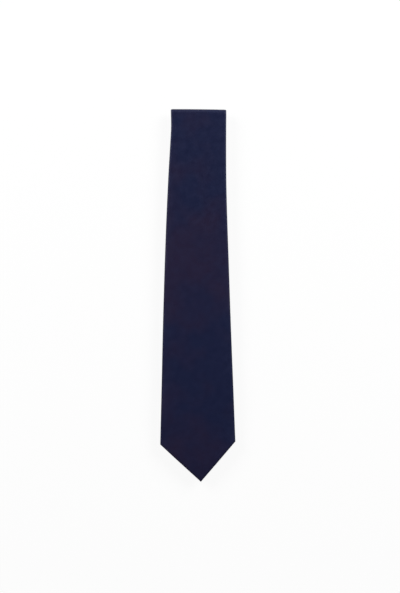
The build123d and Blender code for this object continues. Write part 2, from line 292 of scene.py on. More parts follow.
def roomy_cloth():
    """The blade's face as cloth cut a little too large, held along its outline."""
    s = np.linspace(1.5 * MM, TOP_FOLD[0], RELIEF_ROWS)[:, None] + np.zeros((1, RELIEF_COLS))
    x = edge(-1, s) + (edge(1, s) - edge(-1, s)) * np.linspace(0, 1, RELIEF_COLS)
    face = flat_piece("roomy_cloth", x, s, CLEARANCE + 0.1 * MM * rng.random(x.shape))
    index = np.arange(x.size).reshape(x.shape)
    held = face.vertex_groups.new(name="held")
    rim = np.concatenate([index[:, 0], index[:, -1], index[0], index[-1]])
    held.add(np.unique(rim).tolist(), 1.0, "REPLACE")
    cloth = face.modifiers.new("cloth", "CLOTH")
    settings, contact = cloth.settings, cloth.collision_settings
    settings.quality, settings.mass, settings.vertex_group_mass = 6, 0.05, "held"
    settings.tension_stiffness = settings.compression_stiffness = 15
    settings.shear_stiffness, settings.bending_stiffness, settings.bending_damping = 9, 20, 0.5
    settings.air_damping = 3
    settings.shrink_min = settings.shrink_max = -0.003
    contact.distance_min, contact.collision_quality, contact.use_self_collision = CLEARANCE, 3, False
    cloth.point_cache.frame_end = SETTLE_FRAMES
    return face


def simulate_relief():
    """Lets the roomy cloth settle on its interlining, and returns the buckles as heights above their mean."""
    bed, face = interlining_bed(), roomy_cloth()
    scene = bpy.context.scene
    for frame_number in range(1, SETTLE_FRAMES + 1):
        scene.frame_set(frame_number)
    settled = face.evaluated_get(bpy.context.evaluated_depsgraph_get())
    points = np.empty(len(settled.data.vertices) * 3)
    settled.data.vertices.foreach_get("co", points)
    scene.frame_set(1)
    for done in (face, bed):
        mesh = done.data
        bpy.data.objects.remove(done)
        bpy.data.meshes.remove(mesh)
    height = blur(points[2::3].reshape(RELIEF_ROWS, RELIEF_COLS))
    height = PRESSED * (height - height.mean())
    return np.clip(height, -RELIEF_CAP, RELIEF_CAP)


def relief(x, s):
    """The simulated buckles at any place; the runs below the blade reuse them, mirrored at each fold."""
    length = TOP_FOLD[0]
    folded = length - np.abs(np.mod(s, 2 * length) - length)
    left, right = edge(-1, s), edge(1, s)
    share = np.clip((x - left) / np.maximum(right - left, 1 * MM), 0, 1)
    row = np.clip(folded / length * (RELIEF_ROWS - 1), 0, RELIEF_ROWS - 1.001)
    col = np.clip(share * (RELIEF_COLS - 1), 0, RELIEF_COLS - 1.001)
    i, j = row.astype(int), col.astype(int)
    u, v = row - i, col - j
    field = buckles[i, j] * (1 - u) * (1 - v) + buckles[i + 1, j] * u * (1 - v)
    return field + buckles[i, j + 1] * (1 - u) * v + buckles[i + 1, j + 1] * u * v


# --- The cloth tube ---
CLOTH = 0.16 * MM
BACK_D = 2.5 * MM  # depth of the flaps' outer side
ROLL = BACK_D / 2  # how deep the rolled long edges are, and how wide
ROLL_WIDTH = 2.6 * MM
LAP_RISE = 0.62 * MM  # how much higher the over flap lies where it laps the under flap
CROWN = 0.32 * MM  # how far the face falls away towards the edges
HEM = 5.0 * MM  # cloth turned under at each flap's free edge
BORDER = 3.2 * MM  # cloth that shows round the tipping
MITRE_GAP = 0.04 * MM  # between the two borders where they meet in the tip
SEAM_S, TAIL_SEAM_S = 105 * MM, 58 * MM  # from each tip to where the back seam starts
UNDER_X, OVER_X = 6.4 * MM, -5.0 * MM  # the two flaps' free edges in the back seam

ROLL_STEPS = [ROLL_WIDTH * (1 - math.cos(math.radians(a))) for a in range(0, 91, 15)]


def fall(distance):
    """How deep the face lies, that far inside the outline: a rolled edge and then a slight crown."""
    t = np.clip(1 - distance / ROLL_WIDTH, 0, 1)
    roll = ROLL * (1 - np.sqrt(1 - t * t))
    return roll + CROWN * np.exp(-distance / (9 * MM)) * (1 - np.exp(-distance / (2 * MM)))


def free_edge(side, s):
    """x of the flap's free edge: the back seam, then the window's slanted edge, then the tip's border."""
    lap = UNDER_X if side < 0 else OVER_X
    meet = (3.0 if side < 0 else -1.0) * MM
    x = np.full_like(s, lap)
    for end, seam in ((FRONT, SEAM_S), (BACK, TAIL_SEAM_S)):
        from_tip = np.abs(s - end.tip[1])
        cx, cs = end.corners[side]
        corner = abs(cs - end.tip[1]) + 2 * MM
        start = cx - side * BORDER * end.stretch(side)
        slanted = np.interp(from_tip, [corner, seam, seam + 20 * MM], [start, meet, lap])
        x = np.where(from_tip < seam + 20 * MM, slanted, x)
        outer = side * end.edge(side, s)
        centre = side * (end.edge(-1, s) + end.edge(1, s)) / 2
        border = np.minimum(np.maximum(outer - BORDER * end.stretch(side), centre + MITRE_GAP), outer)
        x = np.where(from_tip < corner, side * border, x)
    return x


def lap_lift(x, s):
    """How much the over flap rises to pass over the under flap."""
    started = smooth(96 * MM, 114 * MM, s) * smooth(50 * MM, 66 * MM, TOTAL - s)
    return LAP_RISE * smooth(14 * MM, 7.5 * MM, x) * started


def face_column(share):
    """Depth and place of the face cloth at one share of its width between the rolled edges."""

    def column(s):
        left = edge(-1, s) + step_in(-1, s, ROLL_STEPS[-1], None)
        right = edge(1, s) - step_in(1, s, ROLL_STEPS[-1], None)
        x = left + (right - left) * share
        return x, fall(inside(x, s)), x

    return column


def step_in(side, s, amount, room):
    """A step of that amount inwards from the outline, taken along x, and less where there is little room."""
    if room is None:
        room = (edge(1, s) - edge(-1, s)) / 2
    wide = stretch(side, s)
    return amount * wide * np.minimum(1, 0.6 * room / (ROLL_WIDTH * wide))


def face_roll(side, amount):
    def column(s):
        x = edge(side, s) - side * step_in(side, s, amount, None)
        return x, fall(inside(x, s)), x

    return column


def flap_at(side, x, s):
    depth = BACK_D - fall(inside(x, s))
    if side > 0:
        depth = depth + lap_lift(x, s)
    return depth


def flap_room(side, s):
    return side * (edge(side, s) - free_edge(side, s))


def flap_column(side, share, amount=ROLL_STEPS[-1]):
    """The flap from that step into its rolled edge (share 0) to its free edge (share 1)."""

    def column(s):
        start = edge(side, s) - side * step_in(side, s, amount, flap_room(side, s))
        x = start + (free_edge(side, s) - start) * share
        return x, flap_at(side, x, s), 2 * edge(side, s) - x

    return column


def hem_column(side, back, under):
    """The cloth turned under at a flap's free edge: back from the edge, and that much under the flap."""

    def column(s):
        free = free_edge(side, s)
        reach = np.minimum(back, 0.5 * flap_room(side, s))
        depth = flap_at(side, free + side * np.minimum(reach, 0.3 * MM), s) - under
        return free + side * reach, depth, 2 * edge(side, s) - free + side * reach

    return column


def tube_columns():
    """The cross-section, from the under flap's hem round the face to the over flap's hem."""
    hems = [(HEM, 2.3 * CLOTH), (0.35 * MM, 2.2 * CLOTH), (0.05 * MM, 1.7 * CLOTH), (0.0, 0.9 * CLOTH)]
    shares = np.linspace(0, 1, 12)[1:]
    left = [hem_column(-1, *h) for h in hems]
    left += [flap_column(-1, v) for v in (0.995, *shares[-2::-1])]
    left += [flap_column(-1, 0, v) for v in ROLL_STEPS[:0:-1]]
    face = [face_roll(-1, v) for v in ROLL_STEPS]
    face += [face_column(v) for v in np.linspace(0, 1, 26)[1:-1]]
    face += [face_roll(1, v) for v in ROLL_STEPS[::-1]]
    right = [flap_column(1, 0, v) for v in ROLL_STEPS[1:]]
    right += [flap_column(1, v) for v in (*shares[:-1], 0.995)]
    right += [hem_column(1, *h) for h in hems[::-1]]
    return left + face + right


# --- Mesh helpers ---
WELD = 1e-6


def add_object(name, mesh):
    piece = bpy.data.objects.new(name, mesh)
    bpy.context.scene.collection.objects.link(piece)
    return piece


def woven_mesh(name, points, faces, weave):
    """A mesh with the cloth's own coordinates as its UV map."""
    mesh = bpy.data.meshes.new(name)
    mesh.from_pydata(points.tolist(), [], faces)
    layer = mesh.uv_layers.new(name="weave")
    corners = np.empty(len(mesh.loops), np.int32)
    mesh.loops.foreach_get("vertex_index", corners)
    layer.data.foreach_set("uv", weave[corners].astype(np.float32).ravel())
    return mesh


def grid_mesh(name, points, weave, closed=False):
    """A sheet through a grid of flat points, rows along s."""
    rows, cols = points.shape[:2]
    index = np.arange(rows * cols).reshape(rows, cols)
    after = np.roll(index, -1, axis=1) if closed else index[:, 1:]
    here = index if closed else index[:, :-1]
    quads = np.stack([here[:-1], after[:-1], after[1:], here[1:]], axis=-1).reshape(-1, 4)
    return woven_mesh(name, points.reshape(-1, 3), quads.tolist(), weave.reshape(-1, 2))


def flat_piece(name, x, s, d, weave=None, closed=False):
    """A sheet laid out flat, woven along x unless told otherwise."""
    across = x if weave is None else weave
    return add_object(name, grid_mesh(name, np.stack([x, -s, d], -1), np.stack([across, s], -1), closed))


def weld(mesh, close_ends=False):
    """Merges the points that coincide, after closing the ends of a tube if asked to."""
    bm = bmesh.new()
    bm.from_mesh(mesh)
    if close_ends:
        bmesh.ops.holes_fill(bm, edges=[e for e in bm.edges if e.is_boundary])
    bmesh.ops.remove_doubles(bm, verts=bm.verts, dist=WELD)
    if not close_ends:
        bmesh.ops.dissolve_degenerate(bm, edges=bm.edges, dist=WELD / 2)
    bm.to_mesh(mesh)
    bm.free()


def apply_modifiers(piece):
    bpy.context.view_layer.update()
    evaluated = piece.evaluated_get(bpy.context.evaluated_depsgraph_get())
    made = bpy.data.meshes.new_from_object(evaluated)
    piece.modifiers.clear()
    piece.data = made


def thicken(piece, amount):
    """The sheet is the outer side; the cloth's thickness goes inwards from it."""
    solid = piece.modifiers.new("thickness", "SOLIDIFY")
    solid.thickness = amount
    solid.offset = -1
    solid.use_even_offset = False
    apply_modifiers(piece)


def bend_into_place(piece, crease=None, bodies=None):
    """Folds a flat piece up. crease is the stretch of s that it crosses, between its two bodies."""
    if crease:
        start, end = crease
        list(bodies)
        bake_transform(piece)
    mesh = piece.data
    points = np.empty(len(mesh.vertices) * 3)
    mesh.vertices.foreach_get("co", points)
    mesh.vertices.foreach_set("co", fold_up(points.reshape(-1, 3)).ravel())
    mesh.update()
    for polygon in mesh.polygons:
        polygon.use_smooth = True
    mesh.set_sharp_from_angle(angle=math.radians(50))
    if bodies and not crease:
        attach(piece, bodies)


def finish_piece(piece, material, slot, *nodes):
    piece.data.materials.clear()
    piece.data.materials.append(material)
    if nodes:
        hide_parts(*nodes)
    return piece


def stations(*stretches):
    """Values of s: each stretch is (from, to, step), and its ends are always among them."""
    parts = [np.linspace(a, b, max(2, round(abs(b - a) / step) + 1)) for a, b, step in stretches]
    return np.unique(np.round(np.concatenate(parts), 7))


# --- Shell panels ---
# Where each bias seam crosses the middle of the tie, and which way it leans.
FRONT_SEAM, TAIL_SEAM = (STARTS[2] + top.y - 20 * MM, -1), (STARTS[4] + 60 * MM - middle.y, 1)
FRONT_WOOL_SEAM, TAIL_WOOL_SEAM = (STARTS[2] + top.y + 25 * MM, -1), (STARTS[4] + 15 * MM - middle.y, 1)
SEAM_DIP, SEAM_WIDTH = 0.5 * MM, 0.8 * MM


def lean_rows(s, across, seams):
    """Rows near a bias seam lean with it: the seam itself runs at 45 degrees across the cloth."""
    for seam, lean in seams:
        s = s + lean * across * (1 - smooth(0, 110 * MM, np.abs(s - seam)))
    return s


def shell_panel(name, rows, seams, crease, bodies, replaced):
    """One of the three lengths of cloth, from its first row to its last, sewn to its neighbour at a seam."""
    columns = tube_columns()
    nominal = np.repeat(rows[:, None], len(columns), axis=1)
    across = np.stack([column(nominal[:, i])[2] for i, column in enumerate(columns)], axis=1)
    lean = lean_rows(nominal, across, seams)
    cut = [column(lean[:, i]) for i, column in enumerate(columns)]
    x, d, weave = (np.stack([c[i] for c in cut], axis=1) for i in range(3))
    for seam, _ in seams:
        dip = SEAM_DIP * np.exp(-np.abs(nominal - seam) / SEAM_WIDTH)
        d = d + dip * np.sign(THICK / 2 - d)
    piece = flat_piece(name, x, lean, d, weave)
    weld(piece.data)
    thicken(piece, CLOTH)
    bend_into_place(piece, crease, bodies)
    return finish_piece(piece, satin, "tie_cloth", *replaced)


def crease_rows(crease):
    start, end = crease
    return [(start - 3 * MM, start, 1 * MM), (start, end, 0.42 * MM), (end, end + 3 * MM, 1 * MM)]


# Each length of cloth, from the blade's tip on: the fold that it crosses, its bodies before and after it,
# and its nodes in order.
LENGTHS = {
    "front": (TOP_FOLD, ("front_blade", "upper_back"), ("blade", "fold", "upper")),
    "neck": (NECK_FOLD, ("upper_back", "neck"), ("upper", "fold", "lower")),
    "tail": (TAIL_FOLD, ("neck", "tail"), ("upper", "fold", "blade")),
}


def make_lengths(kind, make, rows, seams):
    """Makes each length of one kind of cloth, from its own rows between its own seams."""
    for (length, (crease, bodies, parts)), own_rows, own_seams in zip(LENGTHS.items(), rows, seams):
        name = f"{length}_{kind}"
        nodes = [f"{name}_{part}" for part in parts]
        make(name, stations(*own_rows, *crease_rows(crease)), own_seams, crease, bodies, nodes)


def to_seam(start, seam):
    near = seam[0] - 4 * MM
    return (start, near, 4 * MM), (near, seam[0], 0.4 * MM)


def from_seam(seam, end):
    near = seam[0] + 4 * MM
    return (seam[0], near, 0.4 * MM), (near, end, 4 * MM)


def make_shell():
    corner = TOTAL - TAIL_HALF
    front_rows = (
        (0, 2 * MM, 0.35 * MM), (2 * MM, LEFT_CORNER_S, 1.5 * MM), (LEFT_CORNER_S, RIGHT_CORNER_S, 0.9 * MM),
        (RIGHT_CORNER_S, 130 * MM, 2 * MM), (130 * MM, TOP_FOLD[0], 4 * MM),
        *to_seam(TOP_FOLD[1], FRONT_SEAM),
    )
    neck_rows = *from_seam(FRONT_SEAM, NECK_FOLD[0]), *to_seam(NECK_FOLD[1], TAIL_SEAM)
    tail_rows = (
        *from_seam(TAIL_SEAM, TAIL_FOLD[0]), (TAIL_FOLD[1], TOTAL - 80 * MM, 4 * MM),
        (TOTAL - 80 * MM, corner, 2 * MM), (corner, TOTAL - 2 * MM, 1.2 * MM),
        (TOTAL - 2 * MM, TOTAL, 0.35 * MM),
    )
    seams = [FRONT_SEAM], [FRONT_SEAM, TAIL_SEAM], [TAIL_SEAM]
    make_lengths("panel", shell_panel, (front_rows, neck_rows, tail_rows), seams)


# --- Interlining and tipping ---
INTERLINING_EDGE = 1.2 * MM  # how far the wool stops short of the folded edges
TIPPING_EDGE = 2.4 * MM
TIPPING_D = 1.95 * MM


def interlining_length(name, rows, seams, crease, bodies, replaced):
    """A thick strip of wool felt that fills the tube, with rounded long edges."""
    nominal = np.repeat(rows[:, None], 26, axis=1)
    share = (1 - np.cos(np.linspace(0, math.pi, 13))) / 2
    share = np.concatenate([share, share[::-1]])
    facing = np.arange(26) < 13
    s = lean_rows(nominal, edge(-1, nominal) + (edge(1, nominal) - edge(-1, nominal)) * share, seams)
    left = edge(-1, s) + INTERLINING_EDGE * stretch(-1, s)
    right = edge(1, s) - INTERLINING_EDGE * stretch(1, s)
    x = left + (right - left) * share
    front = fall(inside(x, s)) + 1.5 * CLOTH
    back = TIPPING_D - 0.2 * MM - 0.6 * fall(inside(x, s))
    thin = 1 - (1 - np.clip(np.minimum(x - left, right - x) / MM, 0, 1)) ** 2
    middle_d, half = (front + back) / 2, (back - front) / 2 * (0.35 + 0.65 * np.sqrt(thin))
    d = np.where(facing, middle_d - half, middle_d + half)
    piece = flat_piece(name, x, s, d, closed=True)
    weld(piece.data, close_ends=True)
    bend_into_place(piece, crease, bodies)
    return finish_piece(piece, wool, "interlining", *replaced)


def make_interlining():
    step, tip_step, gap = 4 * MM, 2.5 * MM, 0.3 * MM
    front_end, neck_end = FRONT_WOOL_SEAM[0], TAIL_WOOL_SEAM[0]
    front_rows = (
        (6.5 * MM, 50 * MM, tip_step), (50 * MM, TOP_FOLD[0], step), (TOP_FOLD[1], front_end - gap, step),
    )
    neck_rows = (front_end + gap, NECK_FOLD[0], step), (NECK_FOLD[1], neck_end - gap, step)
    tail_rows = (
        (neck_end + gap, TAIL_FOLD[0], step), (TAIL_FOLD[1], TOTAL - 30 * MM, step),
        (TOTAL - 6.5 * MM, TOTAL - 30 * MM, tip_step),
    )
    seams = [FRONT_WOOL_SEAM], [FRONT_WOOL_SEAM, TAIL_WOOL_SEAM], [TAIL_WOOL_SEAM]
    make_lengths("interlining", interlining_length, (front_rows, neck_rows, tail_rows), seams)


def make_tipping(name, body, end, top_s, node):
    """The lining in the point, under the hems, a little fuller where it shows in the window."""
    along = math.copysign(1, top_s - end.tip[1])
    length = abs(top_s - end.tip[1])
    rows = end.tip[1] + along * stations((3.8 * MM, 60 * MM, 1.6 * MM), (60 * MM, length, 2.5 * MM))
    s = np.repeat(rows[:, None], 41, axis=1)
    left = edge(-1, s) + TIPPING_EDGE * stretch(-1, s)
    right = edge(1, s) - TIPPING_EDGE * stretch(1, s)
    x = left + (right - left) * np.linspace(0, 1, 41)
    shown = np.minimum(x - free_edge(-1, s), free_edge(1, s) - x)
    creases = 0.06 * MM * np.sin(x / (5.1 * MM) + s / (8.7 * MM))
    creases = creases + 0.05 * MM * np.sin(x / (2.9 * MM) - s / (6.1 * MM))
    d = TIPPING_D - 0.7 * fall(inside(x, s)) + (0.22 * MM + creases) * smooth(-1 * MM, 7 * MM, shown)
    piece = flat_piece(name, x, s, d)
    if along > 0:
        piece.data.flip_normals()
    thicken(piece, 0.1 * MM)
    bend_into_place(piece, bodies=body)
    return finish_piece(piece, lining, "tipping", node)


# --- Loop and labels ---
def back_depth(x, s):
    """Depth of the back of the closed tube, softened where a piece lies across the lap's free edge."""
    lap = smooth(14 * MM, 7.5 * MM, x) * smooth(-11 * MM, -5.2 * MM, x)
    return BACK_D - fall(inside(x, s)) + LAP_RISE * lap


def strip(name, xs, ss, depth, thickness, rim, material, slot, node, ridge=None):
    """A flat woven piece on the blade's back: its outer side at depth(x, s), with rounded rims."""
    x, s = np.meshgrid(xs, ss)
    to_rim = np.minimum(np.minimum(x - xs[0], xs[-1] - x), np.minimum(s - ss[0], ss[-1] - s))
    t = np.clip(1 - to_rim / rim, 0, 1)
    d = depth(x, s) - 0.5 * thickness * (1 - np.sqrt(1 - t * t))
    if ridge is not None:
        d = d + ridge(to_rim)
    piece = flat_piece(name, x, s, d)
    piece.data.flip_normals()
    thicken(piece, thickness)
    bend_into_place(piece, bodies="front_blade")
    return finish_piece(piece, material, slot, node)


def fine_ends(low, high, step, fine):
    """Places from low to high, closer together at both ends."""
    ends = fine * np.array([0, 0.15, 0.4, 0.7, 1])
    return np.concatenate([low + ends[:-1], stations((low + fine, high - fine, step)), high - ends[-2::-1]])


LOOP_X, LOOP_S = (-25 * MM, 27 * MM), (251 * MM, 263 * MM)
LOOP_FOOT = 6 * MM
LABEL_X, LABEL_S = (-24 * MM, 26 * MM), (220 * MM, 244 * MM)
CARE_X, CARE_S = (-19 * MM, -2.5 * MM), (292 * MM, 312 * MM)


def loop_depth(x, s):
    """The keeper loop lies sewn down at its feet and rises clear of the back between them."""
    end = np.minimum(x - LOOP_X[0], LOOP_X[1] - x)
    lifted = smooth(LOOP_FOOT - 2 * MM, LOOP_FOOT + 7 * MM, end)
    bow = 0.35 * MM * np.sin(math.pi * (s - LOOP_S[0]) / (LOOP_S[1] - LOOP_S[0]))
    return back_depth(x, s) * (1 - lifted) + (BACK_D + 1.25 * MM) * lifted + 0.5 * MM + 0.3 * bow


def label_depth(x, s):
    return back_depth(x, s) + 0.3 * MM


def care_depth(x, s):
    """Lies on the under flap, with its sewn end under the lap, and its loose end lifted a little."""
    loose = smooth(CARE_X[0] + 9 * MM, CARE_X[0], x)
    return BACK_D + 0.22 * MM + 0.35 * MM * loose * smooth(CARE_S[0] - 2 * MM, CARE_S[1], s)


BORDER_IN = 1.8 * MM  # from a label's rim to the middle of its woven border line


def label_border(to_rim):
    """A raised woven line a little way in from the label's rim."""
    return 0.05 * MM * np.exp(-((to_rim - BORDER_IN) / (0.35 * MM)) ** 2)


def make_loop_and_labels():
    strip(
        "loop_band", fine_ends(*LOOP_X, 0.9 * MM, 0.5 * MM), fine_ends(*LOOP_S, 0.8 * MM, 0.5 * MM),
        loop_depth, 0.48 * MM, 0.5 * MM, satin, "tie_cloth", "keeper_loop",
    )
    strip(
        "woven_label", fine_ends(*LABEL_X, 0.5 * MM, 0.3 * MM), fine_ends(*LABEL_S, 0.4 * MM, 0.3 * MM),
        label_depth, 0.25 * MM, 0.25 * MM, label_weave, "label", "label_patch", label_border,
    )
    strip(
        "care_ribbon", fine_ends(*CARE_X, 0.7 * MM, 0.2 * MM), fine_ends(*CARE_S, 0.7 * MM, 0.2 * MM),
        care_depth, 0.16 * MM, 0.16 * MM, care_weave, "care_label", "care_label", label_border,
    )


# --- Thread ---
def thread(name, body, paths, radius, node):
    """Stitches of two-ply thread, each along its own path of flat points (x, s, d)."""
    sides, points, faces, weave = 8, [], [], []
    round_it = np.arange(sides) * 2 * math.pi / sides
    for path in paths:
        path = np.array(path, float)
        along = np.gradient(path, axis=0)
        along /= np.linalg.norm(along, axis=1, keepdims=True)
        across = np.cross(along, (0, 0, 1))
        across /= np.maximum(np.linalg.norm(across, axis=1, keepdims=True), 1e-9)
        out = np.cross(across, along)
        travel = np.concatenate([[0], np.cumsum(np.linalg.norm(np.diff(path, axis=0), axis=1))])
        taper = np.ones(len(path))
        taper[[0, -1]] = 0.35
        twist = travel[:, None] / (5 * radius) * math.pi
        ply = radius * taper[:, None] * (0.86 + 0.14 * np.cos(2 * (round_it - twist)))
        ring = (
            path[:, None] + ply[..., None] * np.cos(round_it)[None, :, None] * across[:, None]
            + ply[..., None] * np.sin(round_it)[None, :, None] * out[:, None]
        )
        first = len(points)
        points.extend(ring.reshape(-1, 3))
        weave.extend(np.stack(np.broadcast_arrays(round_it * radius, travel[:, None]), -1).reshape(-1, 2))
        for i in range(len(path) - 1):
            for k in range(sides):
                a, b = first + i * sides + k, first + i * sides + (k + 1) % sides
                faces.append((a, b, b + sides, a + sides))
        last = first + (len(path) - 1) * sides
        faces.append(tuple(range(first, first + sides))[::-1])
        faces.append(tuple(range(last, last + sides)))
    piece = add_object(name, woven_mesh(name, np.array(points) * (1, -1, 1), faces, np.array(weave)))
    bend_into_place(piece, bodies=body)
    return finish_piece(piece, yarn, "thread", node)


def stitch(start, end, rise, depth, count=7):
    """One stitch from start to end, each (x, s): it leaves the cloth, lies on it and goes back in."""
    t = np.linspace(0, 1, count)
    x, s = (start[i] + (end[i] - start[i]) * t for i in range(2))
    over = rise * np.minimum(1, 4 * t * (1 - t) * 1.8) - 0.6 * rise
    return np.stack([x, s, depth(x, s) + over], axis=1)


def row_of_stitches(start, end, length, pitch, rise, depth):
    span = math.dist(start, end)
    count = max(1, int((span - length) // pitch) + 1)
    spare = (span - (count - 1) * pitch - length) / 2
    made = []
    for i in range(count):
        shares = [(spare + i * pitch + offset) / span for offset in (0, length)]
        ends = [tuple(np.array(start) + (np.array(end) - start) * share) for share in shares]
        made.append(stitch(*ends, rise, depth))
    return made


def slip_stitches(start, end):
    """Long loose stitches inside the back seam, with a small catch at the lap's edge beside each."""
    inner = []
    for s in np.arange(start, end - 9 * MM, 12 * MM):
        inner.append(stitch(
            (1 * MM, s), (1.1 * MM, s + 9 * MM), 0.03 * MM, lambda x, s: BACK_D + 0.13 * MM + 0 * x
        ))
        across = np.array([-4.4, -5.25, -5.65, -5.25, -4.4]) * MM
        depth = BACK_D + np.array([0.24, 0.14, 0.02, 0.14, 0.24]) * MM
        inner.append(np.stack([across, s + np.array([0, 0.5, 1.1, 1.7, 2.2]) * MM, depth], axis=1))
    return inner


def bar_tack(s):
    """A dense bar of thread across the start of the back seam, over two lengths laid along it."""

    def on_back(x, s):
        under = flap_at(-1, x, s) + 0.3 * MM * smooth(-9 * MM, -5 * MM, x)
        return np.where(x > OVER_X, flap_at(1, x, s), under)

    half, wide = 4.5 * MM, 0.6 * MM
    made = [stitch((-half, s + o), (half, s + o), 0.1 * MM, on_back, 15) for o in (-0.3 * MM, 0.3 * MM)]
    for i, x in enumerate(np.arange(-half, half, 0.24 * MM)):
        lean = 0.1 * MM * (-1) ** i
        made.append(stitch((x - lean, s - wide), (x + lean, s + wide), 0.34 * MM, on_back))
    return made


def window_stitches(end, seam):
    """Short stitches that hold the tipping to the hems, along the border and then the window's edges."""
    made = []
    sign = math.copysign(1, end.corners[-1][1] - end.tip[1])
    for side in (-1, 1):
        tall = abs(end.corners[side][1] - end.tip[1])
        border, window = (9 * MM, tall - 1 * MM, 0.25 * MM), (tall + 4 * MM, seam - 6 * MM, 0.3 * MM)
        for near, far, aside in (border, window):
            places = [np.array([end.tip[1] + sign * from_tip]) for from_tip in (near, far)]
            ends = [(float(free_edge(side, s)[0] + side * aside), float(s[0])) for s in places]
            made += row_of_stitches(
                *ends, 1.8 * MM, 2.4 * MM, 0.13 * MM, lambda x, s: flap_at(side, x, s)
            )
    return made


def bias_stitches(seam, depth, pitch, zigzag=0.0):
    """Stitches across the tie along a bias seam."""
    middle_s, lean = seam
    half = [float(edge(side, np.array([middle_s]))[0]) - side * 2 * MM for side in (-1, 1)]
    made = []
    xs = np.arange(half[0] + pitch, half[1] - pitch, pitch)
    for i, x in enumerate(xs):
        shift, x_end = zigzag * (-1) ** i, x + 0.75 * pitch
        start, end = (x, middle_s + lean * x - shift), (x_end, middle_s + lean * x_end + shift)
        made.append(stitch(start, end, 0.06 * MM, lambda x, s: depth + 0 * x))
    return made


def make_thread():
    fine, thick = 0.1 * MM, 0.17 * MM
    foot = LOOP_FOOT / 2
    loop_rows = [
        row_of_stitches((x, LOOP_S[0] + MM), (x, LOOP_S[1] - MM), 1.9 * MM, 2.4 * MM, 0.2 * MM, loop_depth)
        for x in (LOOP_X[0] + 1.2 * MM, LOOP_X[0] + foot + MM, LOOP_X[1] - foot - MM, LOOP_X[1] - 1.2 * MM)
    ]
    label_rows = [
        row_of_stitches(
            (x, LABEL_S[0] + MM), (x, LABEL_S[1] - MM), 1.6 * MM, 2.2 * MM, 0.16 * MM, label_depth
        )
        for x in (LABEL_X[0] + 0.9 * MM, LABEL_X[1] - 0.9 * MM)
    ]
    seam_s, tail_seam_s = SEAM_S, TOTAL - TAIL_SEAM_S
    slips = {
        "blade": ("front_blade", seam_s + 24 * MM, TOP_FOLD[0] - 5 * MM),
        "upper_back": ("upper_back", TOP_FOLD[1] + 5 * MM, NECK_FOLD[0] - 5 * MM),
        "neck": ("neck", NECK_FOLD[1] + 5 * MM, TAIL_FOLD[0] - 5 * MM),
        "tail": ("tail", TAIL_FOLD[1] + 5 * MM, tail_seam_s - 24 * MM),
    }
    thread("loop_thread", "front_blade", sum(loop_rows, []), thick, "keeper_loop_stitches")
    thread("label_thread", "front_blade", sum(label_rows, []), fine, "label_stitches")
    for name, (body, start, end) in slips.items():
        thread(name + "_slip_thread", body, slip_stitches(start, end), fine, name + "_slip_stitches")
    thread("blade_tack", "front_blade", bar_tack(seam_s + 3 * MM), fine, "blade_bar_tack")
    thread("tail_tack", "tail", bar_tack(tail_seam_s - 3 * MM), fine, "tail_bar_tack")
    windows = ("front", "front_blade", FRONT, SEAM_S), ("tail", "tail", BACK, TAIL_SEAM_S)
    for name, body, end, seam in windows:
        thread(name + "_tipping_thread", body, window_stitches(end, seam), fine, name + "_tipping_stitches")
    for name, seam, body in (("front", FRONT_SEAM, "upper_back"), ("tail", TAIL_SEAM, "neck")):
        paths = bias_stitches(seam, 0.42 * MM, 1.6 * MM)
        thread(name + "_seam_thread", body, paths, fine, name + "_seam_stitches")
    for name, seam, body in (("front", FRONT_WOOL_SEAM, "upper_back"), ("tail", TAIL_WOOL_SEAM, "neck")):
        paths = bias_stitches(seam, TIPPING_D - 0.15 * MM, 2.5 * MM, 1.5 * MM)
        thread(name + "_interlining_thread", body, paths, fine, name + "_interlining_stitches")


# --- Materials ---
WHITE = (1, 1, 1)


